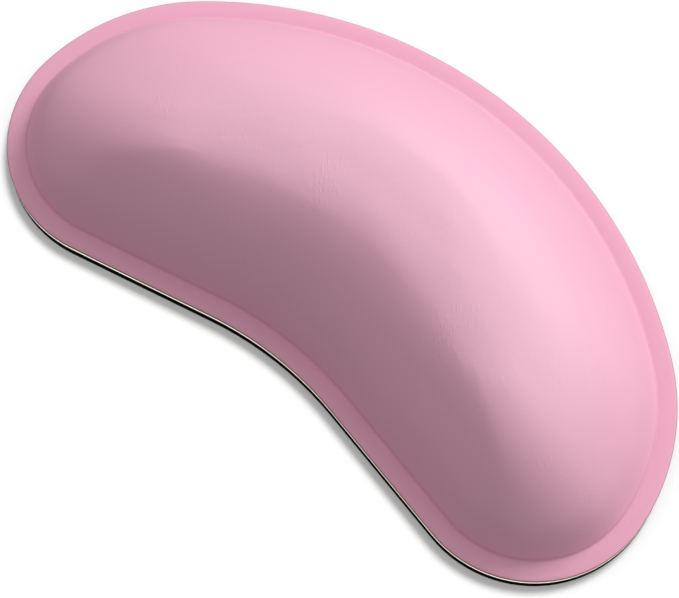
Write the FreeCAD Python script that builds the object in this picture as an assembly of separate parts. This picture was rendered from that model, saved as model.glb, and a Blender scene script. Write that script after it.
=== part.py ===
"""Wrist rest: a bean-shaped memory-foam cushion under a soft leather-look cover, hot-pressed
and die-cut round its rim on a black non-slip sheet.

Frame: X runs along the rest, +Y points to its convex (crowned) side and +Z up. The origin is
on the underside, at the middle of the rest's own length and depth. Sizes are in millimetres.
"""
import FreeCAD
import Part
import math
import os

# Plan outline, the line along which all layers are die-cut
overall_length = 150.0      # tip to tip, along X
overall_depth = 78.2        # crown of the convex side to the line across both lobes
hollow_depth = 8.7          # how far the waist on the concave side lies inside that line
end_radius = 24.7           # rounding of the two lobes
waist_radius = 71.0         # hollow of the concave side
crown_turn = 39.9           # degrees turned from the middle to where the crown arc ends
shoulder_turn = 85.4        # degrees turned to where the shoulder arc ends

# Layers, from the table up
base_thickness = 2.7        # black non-slip sheet
adhesive_thickness = 0.15   # hot-melt film that holds the cover and the foam on the sheet
backing_thickness = 1.05    # cream lining of the cover
skin_thickness = 0.6        # pink leather-look film

# Dome of foam under the cover
hem_width = 3.9             # flat pressed rim, from the cut edge to the crease
dome_rise = 21.5            # from the flat of the rim to the top of the dome
round_share = 0.41          # share of the rise that falls as the square of the distance
dome_levels = 10            # level curves that the dome's surface passes through
top_flat = 0.08             # the flat left at the very top, as a share of the half depth
end_fullness = 0.75         # how much of the lobes' radius the level curves use up

# Grip dimples moulded in the underside
dimple_diameter = 3.6
dimple_depth = 0.6
dimple_pitch = 7.0          # centre to centre, in a triangular pattern
dimple_margin = 5.0         # plain rim between the cut edge and the nearest dimple

JOIN_TOLERANCE = 1e-6
OUTPUT_FOLDER = "parts"


def direction(turn):
    """Unit vector that points straight to the convex side at 0 and to the right tip at 90."""
    angle = math.radians(turn)
    return FreeCAD.Vector(math.sin(angle), math.cos(angle), 0)


def convex_radii():
    """Radii of the crown and shoulder arcs that join the crown's middle to the lobe smoothly.

    Each arc's centre lies on the line through its neighbour's centre and their shared point,
    so the offsets between centres, added up along X and along Y, give two linear equations.
    """
    first = direction(crown_turn)
    second = direction(shoulder_turn)
    reach_x = overall_length / 2 - end_radius * (1 - second.x)
    reach_y = overall_depth - end_radius * (1 + second.y)
    wide = second.x - first.x
    deep = first.y - second.y
    crown_y = 1 - first.y
    spread = first.x * deep - crown_y * wide
    crown_radius = (reach_x * deep - reach_y * wide) / spread
    shoulder_radius = (first.x * reach_y - crown_y * reach_x) / spread
    return crown_radius, shoulder_radius


class Outline:
    """The bean outline as tangent arcs, with every inward offset concentric to it."""

    def __init__(self):
        self.crown_radius, self.shoulder_radius = convex_radii()
        crown_y = overall_depth / 2
        self.crown_centre = FreeCAD.Vector(0, crown_y - self.crown_radius, 0)
        self.shoulder_centre = (self.crown_centre
                                + direction(crown_turn) * (self.crown_radius - self.shoulder_radius))
        self.end_centre = FreeCAD.Vector(overall_length / 2 - end_radius, end_radius - crown_y, 0)
        waist_y = hollow_depth - crown_y
        self.waist_centre = FreeCAD.Vector(0, waist_y - waist_radius, 0)
        across = self.waist_centre - self.end_centre
        lean = math.acos((end_radius + waist_radius) / across.Length)
        self.flank_turn = 90 - math.degrees(math.atan2(across.y, across.x) + lean)

    def right_half(self, inset):
        """Centre, radius and the turns at both ends of each arc, from the crown to the waist."""
        return [
            (self.crown_centre, self.crown_radius - inset, 0, crown_turn),
            (self.shoulder_centre, self.shoulder_radius - inset, crown_turn, shoulder_turn),
            (self.end_centre, end_radius - inset, shoulder_turn, self.flank_turn),
            (self.waist_centre, waist_radius + inset, self.flank_turn - 180, 0),
        ]

    def wire(self, inset, height, scale=1.0):
        """Closed outline, offset inwards, scaled about the middle of the waist, at a height.

        The arcs run round from the crown by the right lobe to the waist and back by the left
        one. A straight flank joins a lobe to the waist, the only neighbours that don't meet.
        """
        middle_y = hollow_depth / 2

        def place(point):
            return FreeCAD.Vector(point.x * scale, middle_y + (point.y - middle_y) * scale, height)

        def mirror(point):
            return FreeCAD.Vector(-point.x, point.y, point.z)

        right = []
        for centre, radius, start, finish in self.right_half(inset):
            turns = (start, (start + finish) / 2, finish)
            right.append([place(centre + direction(turn) * radius) for turn in turns])
        left = [[mirror(point) for point in reversed(points)] for points in reversed(right)]
        arcs = right + left
        edges = []
        for points, following in zip(arcs, arcs[1:] + arcs[:1]):
            edges.append(Part.Arc(*points).toShape())
            if not points[-1].isEqual(following[0], JOIN_TOLERANCE):
                edges.append(Part.LineSegment(points[-1], following[0]).toShape())
        return Part.Wire(edges)

    def sheet(self, bottom, top):
        """Flat die-cut layer between two heights."""
        face = Part.Face(self.wire(0, bottom))
        return face.extrude(FreeCAD.Vector(0, 0, top - bottom))


outline = Outline()
adhesive_bottom = base_thickness
backing_bottom = adhesive_bottom + adhesive_thickness
skin_bottom = backing_bottom + backing_thickness
hem_top = skin_bottom + skin_thickness


def fall(share):
    """How far the dome has fallen, as a share of its rise, at a share of its half depth."""
    return round_share * share ** 2 + (1 - round_share) * share ** 4


def dome(below):
    """Solid under the dome's surface, at a depth below the face of the cover.

    The foot moves in by the depth times the tangent of half the foot's slope, so that a layer
    is as thick on the dome's side as on the flat rim.
    """
    half_depth = (overall_depth - hollow_depth) / 2 - hem_width
    foot_slope = math.atan(dome_rise / half_depth * (4 - 2 * round_share))
    foot_shift = below * math.tan(foot_slope / 2)
    foot_inset = hem_width + foot_shift
    half_depth -= foot_shift
    lobe = min(end_radius, outline.shoulder_radius) - foot_inset
    foot_height = hem_top - below
    sections = []
    for level in range(dome_levels):
        share = 1 + (top_flat - 1) * level / (dome_levels - 1)
        inset = end_fullness * lobe * (1 - share ** 2)
        scale = half_depth * share / (half_depth - inset)
        height = foot_height + dome_rise * (1 - fall(share))
        sections.append(outline.wire(foot_inset + inset, height, scale))
    return Part.makeLoft(sections, True, False, False, 3)


def cover_layer(bottom_depth, top_depth):
    """One layer of the cover: a dome shell that runs out into the flat rim."""
    rim = outline.sheet(hem_top - bottom_depth, hem_top - top_depth)
    return rim.fuse(dome(top_depth)).cut(dome(bottom_depth)).removeSplitter()


def cover_skin():
    """Leather-look film: the whole visible face of the cushion."""
    return cover_layer(skin_thickness, 0)


def cover_backing():
    """Cream lining laminated to the film; it shows as a pale line at the cut edge."""
    return cover_layer(skin_thickness + backing_thickness, skin_thickness)


def foam_core():
    """Memory-foam pad that fills the cover's dome."""
    return dome(skin_thickness + backing_thickness)


def adhesive_film():
    """Hot-melt film over the whole sheet, which holds the foam and the pressed rim."""
    return outline.sheet(adhesive_bottom, backing_bottom)


def dimple_centres():
    """Triangular pattern of points, each far enough inside the cut edge for a whole dimple.

    The rows lie half a gap off the X axis, so the origin is on the flat land between dimples.
    """
    room = Part.Face(outline.wire(dimple_margin + dimple_diameter / 2, 0))
    row_gap = dimple_pitch * math.sqrt(3) / 2
    rows = math.ceil(overall_depth / 2 / row_gap)
    columns = math.ceil(overall_length / 2 / dimple_pitch)
    centres = []
    for row in range(-rows, rows + 1):
        shift = dimple_pitch / 2 * (row % 2)
        for column in range(-columns, columns + 1):
            point = FreeCAD.Vector(column * dimple_pitch + shift, (row + 0.5) * row_gap, 0)
            if room.isInside(point, 1e-4, True):
                centres.append(point)
    return centres


def base_sheet():
    """Black non-slip sheet, with shallow round dimples that grip the table."""
    ball_radius = (dimple_diameter ** 2 / 4 + dimple_depth ** 2) / (2 * dimple_depth)
    sink = FreeCAD.Vector(0, 0, dimple_depth - ball_radius)
    balls = [Part.makeSphere(ball_radius, centre + sink) for centre in dimple_centres()]
    return outline.sheet(0, base_thickness).cut(Part.makeCompound(balls))


def write(name, shape):
    """Save one piece, checked to be a single sound solid."""
    if len(shape.Solids) != 1 or not shape.isValid():
        raise ValueError(name + " is not one valid solid")
    shape.Solids[0].exportStep(os.path.join(OUTPUT_FOLDER, name + ".step"))


os.makedirs(OUTPUT_FOLDER, exist_ok=True)
for piece in (base_sheet, adhesive_film, foam_core, cover_backing, cover_skin):
    write(piece.__name__, piece())
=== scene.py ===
"""A bean-shaped memory-foam wrist rest, as it lies on a pale table in studio light."""
import math

import bpy
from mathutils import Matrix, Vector


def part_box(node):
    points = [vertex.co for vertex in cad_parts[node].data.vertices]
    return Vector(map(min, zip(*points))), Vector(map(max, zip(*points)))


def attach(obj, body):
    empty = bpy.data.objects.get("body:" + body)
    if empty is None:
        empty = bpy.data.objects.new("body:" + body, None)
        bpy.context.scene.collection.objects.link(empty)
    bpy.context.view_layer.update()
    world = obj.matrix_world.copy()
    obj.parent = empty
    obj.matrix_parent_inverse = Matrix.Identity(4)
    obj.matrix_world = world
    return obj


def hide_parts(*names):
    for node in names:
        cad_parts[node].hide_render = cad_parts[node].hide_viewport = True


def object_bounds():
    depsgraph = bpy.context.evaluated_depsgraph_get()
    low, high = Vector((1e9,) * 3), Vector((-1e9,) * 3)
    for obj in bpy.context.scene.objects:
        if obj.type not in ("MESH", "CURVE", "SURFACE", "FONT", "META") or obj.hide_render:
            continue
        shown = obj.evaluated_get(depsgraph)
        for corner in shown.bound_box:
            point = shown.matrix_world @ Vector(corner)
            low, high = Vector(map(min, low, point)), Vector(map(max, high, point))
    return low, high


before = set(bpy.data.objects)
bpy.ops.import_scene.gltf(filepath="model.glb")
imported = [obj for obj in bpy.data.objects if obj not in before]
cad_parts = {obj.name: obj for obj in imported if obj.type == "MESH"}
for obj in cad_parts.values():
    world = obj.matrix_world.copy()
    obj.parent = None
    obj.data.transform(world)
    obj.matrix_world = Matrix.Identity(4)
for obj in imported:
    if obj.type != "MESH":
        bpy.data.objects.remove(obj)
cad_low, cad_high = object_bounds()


# ---- Base sheet -------------------------------------------------------------------------------
# A black non-slip rubber sheet, moulded with round grip dimples underneath and die-cut together
# with the cover. The cut leaves a bare, very slightly porous edge all round the rest.

class Signal:
    """A value or colour on its way through the nodes, which Python's operators can work with."""

    def __init__(self, finish, socket):
        self.finish = finish
        self.socket = socket

    def __add__(self, other):
        return self.finish.reckon("ADD", self, other)

    __radd__ = __add__

    def __sub__(self, other):
        return self.finish.reckon("SUBTRACT", self, other)

    def __rsub__(self, other):
        return self.finish.reckon("SUBTRACT", other, self)

    def __mul__(self, other):
        return self.finish.reckon("MULTIPLY", self, other)

    __rmul__ = __mul__


class Finish:
    """The nodes of one material, or of the room's light, and the ways to add to them."""

    def __init__(self, owner, shader="Principled BSDF", coordinates="Object"):
        owner.use_nodes = True
        self.owner = owner
        self.tree = owner.node_tree
        self.shader = self.tree.nodes[shader]
        self.place = self.node("ShaderNodeTexCoord", {}, {}, coordinates)

    def node(self, kind, settings, inputs, output=0):
        """Adds a node with its settings, then its values or links, and returns one output."""
        made = self.tree.nodes.new(kind)
        for name, value in settings.items():
            setattr(made, name, value)
        self.fill(made, inputs)
        return Signal(self, made.outputs[output])

    def fill(self, node, inputs):
        """Gives a node's sockets their values, or links them to signals."""
        for name, value in inputs.items():
            if isinstance(value, Signal):
                self.tree.links.new(value.socket, node.inputs[name])
            else:
                node.inputs[name].default_value = value

    def feed(self, inputs):
        """Gives the shader's own sockets their values or signals."""
        self.fill(self.shader, inputs)

    def reckon(self, operation, first, second):
        """Works out one number from two."""
        return self.node("ShaderNodeMath", {"operation": operation}, {0: first, 1: second})

    def ramp(self, signal, low, high):
        """Spreads the stretch of a signal from low to high over 0 to 1, with soft ends."""
        inputs = {"Value": signal, "From Min": low, "From Max": high}
        return self.node("ShaderNodeMapRange", {"interpolation_type": "SMOOTHSTEP"}, inputs)

    def blend(self, share, first, second):
        """Mixes two colours."""
        inputs = {0: share, 6: first, 7: second}
        return self.node("ShaderNodeMix", {"data_type": "RGBA"}, inputs, 2)

    def noise(self, scale, detail, roughness, place=None):
        """Cloudy unevenness, with this many swells in a metre."""
        inputs = {"Vector": place or self.place, "Scale": scale, "Detail": detail,
                  "Roughness": roughness}
        return self.node("ShaderNodeTexNoise", {}, inputs)

    def cells(self, scale, feature="F1"):
        """Distance to the nearest of scattered points, with this many in a metre."""
        inputs = {"Vector": self.place, "Scale": scale}
        return self.node("ShaderNodeTexVoronoi", {"feature": feature}, inputs, "Distance")

    def bump(self, height, depth, below=None):
        """Turns a height of 0 to 1 into a surface relief of the given depth in metres."""
        inputs = {"Height": height, "Distance": depth, "Strength": 1.0}
        if below is not None:
            inputs["Normal"] = below
        return self.node("ShaderNodeBump", {}, inputs, "Normal")

    def cover(self, piece):
        """Makes this the piece's only material."""
        piece.data.materials.clear()
        piece.data.materials.append(self.owner)


RUBBER_GRAINS = 1600
RUBBER_PORES = 1900
RUBBER_RELIEF = 0.00006
RUBBER_BLACKS = (0.004, 0.004, 0.0045, 1), (0.010, 0.010, 0.011, 1)

rubber = Finish(bpy.data.materials.new("black_rubber"))
rubber_grain = rubber.noise(RUBBER_GRAINS, 4, 0.6)
rubber_pores = rubber.ramp(rubber.cells(RUBBER_PORES), 0.10, 0.32)
rubber.feed({
    "Base Color": rubber.blend(rubber_grain, *RUBBER_BLACKS),
    "Roughness": 0.62 + 0.18 * rubber_grain,
    "Normal": rubber.bump(rubber_pores * 0.6 + rubber_grain * 0.4, RUBBER_RELIEF),
    "Specular IOR Level": 0.15,
})
base_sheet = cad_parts["base_sheet"]
rubber.cover(base_sheet)


# ---- Adhesive film ----------------------------------------------------------------------------
# Hot-melt film laid over the whole sheet, which holds the foam and the pressed rim. Only its
# hairline edge shows, a little uneven where it was squeezed out before the stack was cut.

MELT_SWELLS = 260
MELT_RELIEF = 0.00005
AMBERS = (0.74, 0.66, 0.54, 1), (0.86, 0.80, 0.69, 1)

amber = Finish(bpy.data.materials.new("amber_hot_melt"))
amber_flow = amber.noise(MELT_SWELLS, 3, 0.55)
amber.feed({
    "Base Color": amber.blend(amber_flow, *AMBERS),
    "Roughness": 0.38 + 0.2 * amber_flow,
    "Normal": amber.bump(amber_flow, MELT_RELIEF),
})
adhesive_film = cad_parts["adhesive_film"]
amber.cover(adhesive_film)


# ---- Cover skin -------------------------------------------------------------------------------
# Pink leather-look polyurethane film with a fine soft grain. It is drawn tight over the foam,
# hot-pressed flat round the rim and die-cut, so a crisp crease runs all round the dome.

# The die's outline, as arcs that run into each other.
END_RADIUS = 0.0247
WAIST_RADIUS = 0.071
HOLLOW = 0.0087
CROWN_TURN = math.radians(39.9)
SHOULDER_TURN = math.radians(85.4)
CROWN_STEPS, SHOULDER_STEPS, END_STEPS, WAIST_STEPS = 26, 16, 28, 14

# The film and its pressed rim, which bends down a little to the cut.
SKIN = 0.0006
RIM = 0.0039
RIM_DROOP = 0.00038
CUT_ROUNDING = 0.00014
CREASE_HOLD = 0.0003

# The plane that the outline starts from, how close points must be to be joined, and the
# steepest bend between two faces that still looks smooth.
SEED = 0.001
TOUCHING = 1e-6
MIDDLE_SEAM = 1e-5
SMOOTH_BELOW = math.radians(40)

skin_low, skin_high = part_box("cover_skin")
length = cad_high[0] - cad_low[0]
depth = cad_high[1] - cad_low[1]
rim_top = skin_low[2] + SKIN
rim_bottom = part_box("cover_backing")[0][2]
rise = skin_high[2] - rim_top


def direction(turn):
    """Points to the convex side at 0 and to the right-hand tip at a quarter turn."""
    return Vector((math.sin(turn), math.cos(turn), 0))


def outline_arcs():
    """Centre, radius, turns and steps of the right half's arcs, each one tangent to the next."""
    first, second = direction(CROWN_TURN), direction(SHOULDER_TURN)
    reach_x = length / 2 - END_RADIUS * (1 - second.x)
    reach_y = depth - END_RADIUS * (1 + second.y)
    wide = second.x - first.x
    deep = first.y - second.y
    spread = first.x * deep - (1 - first.y) * wide
    crown_radius = (reach_x * deep - reach_y * wide) / spread
    shoulder_radius = (first.x * reach_y - (1 - first.y) * reach_x) / spread
    crown = Vector((0, depth / 2 - crown_radius, 0))
    shoulder = crown + first * (crown_radius - shoulder_radius)
    end = Vector((length / 2 - END_RADIUS, END_RADIUS - depth / 2, 0))
    waist = Vector((0, HOLLOW - depth / 2 - WAIST_RADIUS, 0))
    across = waist - end
    lean = math.acos((END_RADIUS + WAIST_RADIUS) / across.length)
    flank = math.pi / 2 - math.atan2(across.y, across.x) - lean
    return [
        (crown, crown_radius, 0, CROWN_TURN, CROWN_STEPS),
        (shoulder, shoulder_radius, CROWN_TURN, SHOULDER_TURN, SHOULDER_STEPS),
        (end, END_RADIUS, SHOULDER_TURN, flank, END_STEPS),
        (waist, WAIST_RADIUS, flank - math.pi, 0, WAIST_STEPS),
    ]


def edit(piece, choose=None):
    """Opens one object alone in edit mode, with the chosen vertices selected."""
    bpy.ops.object.select_all(action="DESELECT")
    piece.select_set(True)
    bpy.context.view_layer.objects.active = piece
    bpy.ops.object.mode_set(mode="EDIT")
    bpy.ops.mesh.select_mode(type="VERT")
    bpy.ops.mesh.select_all(action="DESELECT")
    if choose is not None:
        bpy.ops.object.mode_set(mode="OBJECT")
        for vertex in piece.data.vertices:
            vertex.select = choose(vertex.co)
        bpy.ops.object.mode_set(mode="EDIT")


def leave():
    """Goes back to object mode."""
    bpy.ops.object.mode_set(mode="OBJECT")


def modify(piece, kind, settings):
    """Adds a modifier with its settings and applies it."""
    edit(piece)
    leave()
    bpy.ops.object.modifier_add(type=kind)
    modifier = piece.modifiers[-1]
    for name, value in settings.items():
        setattr(modifier, name, value)
    bpy.ops.object.modifier_apply(modifier=modifier.name)


# The outline: a plane is merged to one point, which is spun round each arc of the right half.
bpy.ops.object.select_all(action="DESELECT")
bpy.ops.mesh.primitive_plane_add(size=SEED)
skin = bpy.context.object
skin.name = "cover_skin_film"
edit(skin)
bpy.ops.mesh.select_all(action="SELECT")
bpy.ops.mesh.merge(type="CENTER")
bpy.ops.transform.translate(value=(0, depth / 2, rim_top - RIM_DROOP - CUT_ROUNDING))
tip = Vector((0, depth / 2, 0))
for centre, radius, start, finish, steps in outline_arcs():
    corner = centre + direction(start) * radius
    if (corner - tip).length > TOUCHING:
        bpy.ops.mesh.extrude_region_move(TRANSFORM_OT_translate={"value": corner - tip})
    bpy.ops.mesh.spin(steps=steps, angle=finish - start, center=centre, axis=(0, 0, 1))
    tip = centre + direction(finish) * radius
bpy.ops.mesh.select_all(action="SELECT")
bpy.ops.mesh.symmetrize(direction="POSITIVE_X", threshold=MIDDLE_SEAM)
bpy.ops.mesh.select_all(action="SELECT")
bpy.ops.mesh.edge_face_add()
leave()
faces_down = skin.data.polygons[0].normal.z < 0
edit(skin)
bpy.ops.mesh.select_all(action="SELECT")
if faces_down:
    bpy.ops.mesh.flip_normals()

# The rim, with the cut edge rounded over and a line held beside the crease to keep it crisp.
bpy.ops.mesh.inset(thickness=CUT_ROUNDING, depth=CUT_ROUNDING)
flat_rim = RIM - CUT_ROUNDING
rim_shares = (1, 0.6, 0.25, CREASE_HOLD / flat_rim, 0)
for share, next_share in zip(rim_shares, rim_shares[1:]):
    lift = RIM_DROOP * (share ** 2 - next_share ** 2)
    bpy.ops.mesh.inset(thickness=flat_rim * (share - next_share), depth=lift)

# The dome, level by level, each at a share of the half depth. The levels keep the bean's outline
# and grow rounder to the top, where their tips come so close that they are merged.
LEVELS = 22
FOOT_SHARE = 0.985
LOWEST_SHARE = 0.96
TOP_SHARE = 0.10
ROUND_SHARE = 0.41
FULLNESS = 0.75
TOP_HELD = 0.0013
TOP_MERGED = 0.0009

step = (LOWEST_SHARE - TOP_SHARE) / (LEVELS - 1)
half_depth = (depth - HOLLOW) / 2 - RIM
lobe = END_RADIUS - RIM
middle = Vector((0, HOLLOW / 2, 0))
height, inset, scale = 0, 0, 1
for share in [FOOT_SHARE] + [LOWEST_SHARE - step * level for level in range(LEVELS)]:
    next_inset = FULLNESS * lobe * (1 - share ** 2)
    next_scale = half_depth * share / (half_depth - next_inset)
    next_height = rise * (1 - ROUND_SHARE * share ** 2 - (1 - ROUND_SHARE) * share ** 4)
    bpy.ops.mesh.inset(thickness=scale * (next_inset - inset), depth=next_height - height)
    grow = next_scale / scale
    bpy.ops.transform.resize(value=(grow, grow, 1), center_override=middle)
    height, inset, scale = next_height, next_inset, next_scale
leave()
edit(skin, lambda point: point.z > rim_top + rise - TOP_HELD)
bpy.ops.mesh.remove_doubles(threshold=TOP_MERGED)
bpy.ops.mesh.quads_convert_to_tris(ngon_method="BEAUTY")
leave()

# The foam spreads the pull of the film, so the ridge along the dome is rounded off, and then
# drawn up again to its full height.
SOFT_FROM = 0.35
SOFT_GAIN = 2
SOFT_PASSES = 80
OFF_THE_RIM = 0.0001

ridge = skin.vertex_groups.new(name="ridge")
for vertex in skin.data.vertices:
    share = ((vertex.co.z - rim_top) / rise - SOFT_FROM) / (1 - SOFT_FROM)
    if share > 0:
        ridge.add([vertex.index], min(1, SOFT_GAIN * share), "REPLACE")
modify(skin, "SMOOTH", {"factor": 0.5, "iterations": SOFT_PASSES, "vertex_group": ridge.name})
stretch = rise / (max(vertex.co.z for vertex in skin.data.vertices) - rim_top)
edit(skin, lambda point: point.z > rim_top + OFF_THE_RIM)
bpy.ops.transform.resize(value=(1, 1, stretch), center_override=(0, 0, rim_top))
leave()

# The film is blown tight over the foam, held by its pressed rim.
RIM_HELD = 0.0002
PRESSURE = 40
TICKS = 20
MOST_MOVE = 0.0008

edit(skin, lambda point: point.z < rim_top + RIM_HELD or point.z > rim_top + rise - TOP_HELD)
bpy.ops.object.vertex_group_assign_new()
leave()
skin.vertex_groups[-1].name = "held"
rest_shape = [vertex.co.copy() for vertex in skin.data.vertices]
bpy.ops.object.modifier_add(type="CLOTH")
cloth = skin.modifiers[-1]
cloth.settings.quality = 8
cloth.settings.use_pressure = True
cloth.settings.uniform_pressure_force = PRESSURE
cloth.settings.effector_weights.gravity = 0
cloth.settings.vertex_group_mass = "held"
cloth.point_cache.frame_start = 1
cloth.point_cache.frame_end = TICKS
for tick in range(1, TICKS + 1):
    bpy.context.scene.frame_set(tick)
bpy.ops.object.modifier_apply(modifier=cloth.name)
bpy.context.scene.frame_set(1)
for vertex, before in zip(skin.data.vertices, rest_shape):
    move = vertex.co - before
    if move.length > MOST_MOVE:
        vertex.co = before + move * (MOST_MOVE / move.length)
modify(skin, "SUBSURF", {"levels": 1, "render_levels": 1})

# The lining and the foam are drawn to the same shape, so the bare face is kept for them.
drawn_face = skin.data.copy()


def start_layer(name):
    """Makes a new piece from a copy of the drawn face."""
    piece = bpy.data.objects.new(name, drawn_face.copy())
    bpy.context.collection.objects.link(piece)
    return piece


def thicken(piece, below, thickness):
    """Lowers a copy of the drawn face and gives it a wall, with an upright cut edge."""
    cut = rim_top - RIM_DROOP - CUT_ROUNDING / 2
    outline = [(vertex.index, vertex.co.copy()) for vertex in piece.data.vertices
               if vertex.co.z < cut]
    count = len(piece.data.vertices)
    if below:
        modify(piece, "DISPLACE", {"strength": -below, "mid_level": 0})
    modify(piece, "SOLIDIFY", {"thickness": thickness, "offset": -1})
    vertices = piece.data.vertices
    for index, place in outline:
        for layer in (index, index + count):
            vertices[layer].co.x, vertices[layer].co.y = place.x, place.y
        vertices[index].co.z = place.z - below
        vertices[index + count].co.z = place.z - below - thickness
    for vertex in vertices:
        vertex.co.z = max(vertex.co.z, rim_bottom)
    bpy.ops.object.shade_smooth_by_angle(angle=SMOOTH_BELOW)


thicken(skin, 0, SKIN)

GRAINS = 2600
PEBBLES = 1500
MOTTLES = 45
GRAIN_RELIEF = 0.000022
FACE_STARTS, FACE_FULL = 0.0002, 0.0016
FACE_PINKS = (0.700, 0.338, 0.458, 1), (0.722, 0.356, 0.476, 1)
RIM_PINKS = (0.728, 0.330, 0.458, 1), (0.748, 0.345, 0.474, 1)

leather = Finish(bpy.data.materials.new("pink_soft_leather"))
grain = leather.noise(GRAINS, 3, 0.55)
pebble = leather.cells(PEBBLES, "SMOOTH_F1")
mottle = leather.noise(MOTTLES, 3, 0.5)
height_here = leather.node("ShaderNodeSeparateXYZ", {}, {"Vector": leather.place}, "Z")
on_dome = leather.ramp(height_here, rim_top + FACE_STARTS, rim_top + FACE_FULL)
pink = leather.blend(
    on_dome, leather.blend(mottle, *RIM_PINKS), leather.blend(mottle, *FACE_PINKS))
relief = leather.bump(pebble * 0.5 + grain * 0.5, GRAIN_RELIEF)

# Hairline wrinkles lie in patches, all one way, across the pull of the film.
WRINKLE_TURN = math.radians(29)
WRINKLE_STRETCH = 6
WRINKLES = 2300
WRINKLE_PATCHES = 70
WRINKLE_RELIEF = 0.00002

across = leather.node("ShaderNodeMapping", {"vector_type": "TEXTURE"}, {
    "Vector": leather.place, "Rotation": (0, 0, WRINKLE_TURN), "Scale": (1, WRINKLE_STRETCH, 1)})
hairlines = leather.ramp(leather.noise(WRINKLES, 1, 0.5, across), 0.52, 0.68)
patches = leather.ramp(leather.noise(WRINKLE_PATCHES, 2, 0.5), 0.50, 0.64)
wrinkles = hairlines * patches * on_dome

# Painted shade: the film is coloured darker in a thin band in the crease at the foot of the dome,
# and along the rounded cut edge.
CREASE_SHADE_PINK = (0.46, 0.17, 0.27, 1)
CREASE_SHADE_SHARE = 0.35
CREASE_SHADE_STARTS, CREASE_SHADE_FULL, CREASE_SHADE_FADES, CREASE_SHADE_ENDS = -0.00003, 0.00006, 0.0003, 0.0009
CUT_SHADE_PINK = (0.36, 0.17, 0.22, 1)
CUT_SHADE_STARTS, CUT_SHADE_FULL = 0.00002, 0.00010

# Painted shade in the crease: a thin darker band just above the rim, at the foot of the dome.
crease_shade = leather.ramp(height_here, rim_top + CREASE_SHADE_STARTS, rim_top + CREASE_SHADE_FULL)
crease_shade = crease_shade * leather.ramp(height_here, rim_top + CREASE_SHADE_ENDS, rim_top + CREASE_SHADE_FADES)
# Painted shade on the cut edge: the film's rounded edge below the rim's edge height is coloured
# darker.
rim_edge = rim_top - RIM_DROOP
cut_shade = leather.ramp(height_here, rim_edge - CUT_SHADE_STARTS, rim_edge - CUT_SHADE_FULL)
shaded_pink = leather.blend(crease_shade * CREASE_SHADE_SHARE, pink, CREASE_SHADE_PINK)
leather.feed({
    "Base Color": leather.blend(cut_shade, shaded_pink, CUT_SHADE_PINK),
    "Roughness": 0.82 + 0.08 * grain - 0.24 * on_dome,
    "Normal": leather.bump(wrinkles, WRINKLE_RELIEF, relief),
    "IOR": 1.7,
})
leather.cover(skin)
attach(skin, "root")
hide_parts("cover_skin")


# ---- Cover backing ----------------------------------------------------------------------------
# Cream knitted lining, laminated to the back of the film before the cover is formed. Its die-cut
# edge shows as a pale line between the pink film and the black sheet.

BACKING = 0.00105
FIBRES = 2400
FIBRE_FLATNESS = 2.2
FIBRE_RELIEF = 0.00008
CREAMS = (0.88, 0.78, 0.64, 1), (0.97, 0.91, 0.80, 1)

backing = start_layer("cover_backing_cloth")
thicken(backing, SKIN, BACKING)

lining = Finish(bpy.data.materials.new("cream_lining"))
flattened = lining.node(
    "ShaderNodeMapping", {}, {"Vector": lining.place, "Scale": (1, 1, FIBRE_FLATNESS)})
fluff = lining.noise(FIBRES, 4, 0.6, flattened)
lining.feed({
    "Base Color": lining.blend(fluff, *CREAMS),
    "Roughness": 0.85 + 0.1 * fluff,
    "Normal": lining.bump(fluff, FIBRE_RELIEF),
    "Sheen Weight": 0.2,
})
lining.cover(backing)
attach(backing, "root")
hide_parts("cover_backing")


# ---- Foam core --------------------------------------------------------------------------------
# Slow-recovery polyurethane foam, moulded to the dome and bonded flat on the adhesive film. The
# cover hides it all round; its top is the drawn face, lowered by the cover's thickness.

FOOT_MARGIN = 0.00005
FOAM_JOINED = 0.00001
FOAM_CELLS = 1300
FOAM_MOTTLES = 60
FOAM_RELIEF = 0.0002
FOAM_CREAMS = (0.80, 0.74, 0.60, 1), (0.88, 0.83, 0.70, 1)

foam = start_layer("foam_pad")
bpy.data.meshes.remove(drawn_face)
modify(foam, "DISPLACE", {"strength": -(SKIN + BACKING), "mid_level": 0})
foam_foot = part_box("foam_core")[0][2]
edit(foam, lambda point: point.z < foam_foot + FOOT_MARGIN)
bpy.ops.mesh.delete(type="VERT")
bpy.ops.mesh.select_non_manifold()
bpy.ops.mesh.extrude_region_move(TRANSFORM_OT_translate={"value": (0, 0, 0)})
bpy.ops.transform.resize(value=(1, 1, 0), center_override=(0, 0, foam_foot))
bpy.ops.mesh.edge_face_add()
bpy.ops.mesh.select_all(action="SELECT")
bpy.ops.mesh.remove_doubles(threshold=FOAM_JOINED)
bpy.ops.mesh.normals_make_consistent(inside=False)
leave()
bpy.ops.object.shade_smooth_by_angle(angle=SMOOTH_BELOW)

cushion = Finish(bpy.data.materials.new("cream_memory_foam"))
pores = cushion.cells(FOAM_CELLS)
tone = cushion.noise(FOAM_MOTTLES, 3, 0.5)
cushion.feed({
    "Base Color": cushion.blend(tone, *FOAM_CREAMS),
    "Roughness": 0.9 + 0.08 * pores,
    "Normal": cushion.bump(cushion.ramp(pores, 0.1, 0.5), FOAM_RELIEF),
})
cushion.cover(foam)
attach(foam, "root")
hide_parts("foam_core")


# ---- Table, light and camera --------------------------------------------------------------------
# A pale matt table in a studio: a broad low light beyond the convex side, weak fills round it, a
# light that only makes sheen, an even room, and separate lights for the table and the cut edge.

TABLE_SIZE = 6
TABLE_GREYS = (0.79, 0.79, 0.79, 1), (0.81, 0.81, 0.81, 1)
TABLE_GLOW = 0.14
ROOM_LOW = 0.28
ROOM_TOP = 0.55
BACKDROP = 0.86
CAMERA_AT = Vector((0.09756, -0.13041, 0.4736))
CAMERA_AIM = Vector((0.00226, -0.01365, 0.0042))
CAMERA_LENS = 134.7

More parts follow.
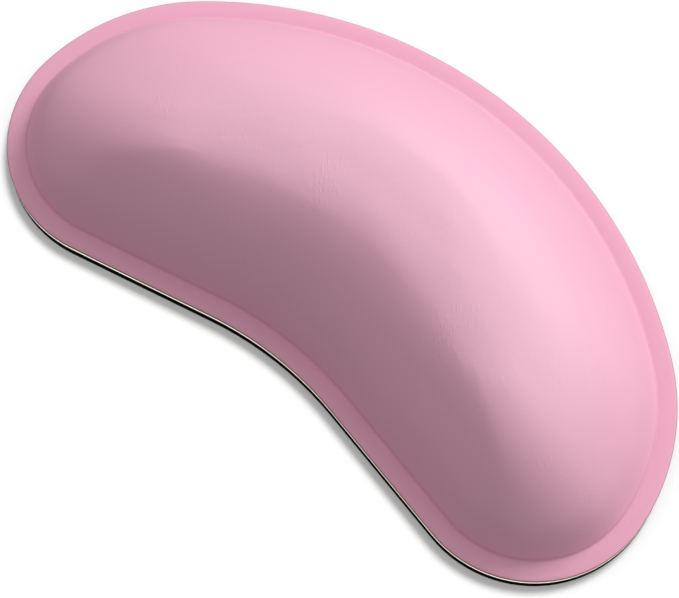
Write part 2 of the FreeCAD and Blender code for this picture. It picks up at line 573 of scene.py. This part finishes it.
bpy.ops.object.select_all(action="DESELECT")
bpy.ops.mesh.primitive_plane_add(size=TABLE_SIZE)
table = bpy.context.object
table.name = "table"
pale = Finish(bpy.data.materials.new("pale_table"))
pale.feed({
    "Base Color": pale.blend(pale.noise(40, 3, 0.5), *TABLE_GREYS),
    "Roughness": 0.9,
    "Emission Color": (1, 1, 1, 1),
    "Emission Strength": TABLE_GLOW,
    "Specular IOR Level": 0.0,
})
pale.cover(table)
table.visible_glossy = False
table.visible_diffuse = False

# The room glows more from above. What the camera sees of it behind the table is one pale tone.
world = bpy.data.worlds.new("studio")
bpy.context.scene.world = world
room = Finish(world, "Background", "Generated")
upward = room.node("ShaderNodeSeparateXYZ", {}, {"Vector": room.place}, "Z")
glow = room.node(
    "ShaderNodeMapRange", {}, {"Value": upward, "To Min": ROOM_LOW, "To Max": ROOM_TOP})
seen = room.node("ShaderNodeLightPath", {}, {}, "Is Camera Ray")
room.feed({"Color": (1, 1, 1, 1), "Strength": seen * BACKDROP + (1 - seen) * glow})
world.cycles_visibility.glossy = False


def lit_group(name, pieces):
    """Groups the pieces that a lamp lights."""
    group = bpy.data.collections.new(name)
    for piece in pieces:
        group.objects.link(piece)
    return group


def lamp(name, lit, turn, elevation, spread, strength):
    """A far soft light; turn 0 is beyond the convex side and 90 degrees is to the right."""
    bpy.ops.object.light_add(type="SUN")
    light = bpy.context.object
    light.name = name
    light.data.angle = math.radians(spread)
    light.data.energy = strength * math.pi
    flat = direction(math.radians(turn)) * math.cos(math.radians(elevation))
    to_light = flat + Vector((0, 0, math.sin(math.radians(elevation))))
    light.rotation_euler = to_light.to_track_quat("Z", "Y").to_euler()
    light.light_linking.receiver_collection = lit
    return light


whole_rest = lit_group("lit_by_key", (skin, backing, foam, base_sheet, adhesive_film))
cut_edge = lit_group("lit_at_the_edge", (backing, adhesive_film))
table_top = lit_group("lit_from_above", (table,))
for light in (
    lamp("key", whole_rest, turn=8, elevation=29, spread=30, strength=0.87),
    lamp("left_fill", whole_rest, turn=-90, elevation=5, spread=40, strength=0.33),
    lamp("right_fill", whole_rest, turn=100, elevation=12, spread=60, strength=0.13),
    lamp("far_fill", whole_rest, turn=25, elevation=17, spread=50, strength=0.17),
):
    light.visible_glossy = False
sheen = lamp("sheen", whole_rest, turn=4.8, elevation=50, spread=50, strength=1.6)
sheen.visible_diffuse = False
lamp("table_light", table_top, turn=-4, elevation=65, spread=20, strength=0.72)
lamp("edge_light", cut_edge, turn=141, elevation=20, spread=50, strength=1.0)

bpy.ops.object.camera_add(location=CAMERA_AT)
camera = bpy.context.object
camera.rotation_euler = (CAMERA_AIM - CAMERA_AT).to_track_quat("-Z", "Y").to_euler()
camera.data.lens = CAMERA_LENS
camera.data.clip_start = 0.01
bpy.context.scene.camera = camera
bpy.context.scene.view_settings.view_transform = "Standard"
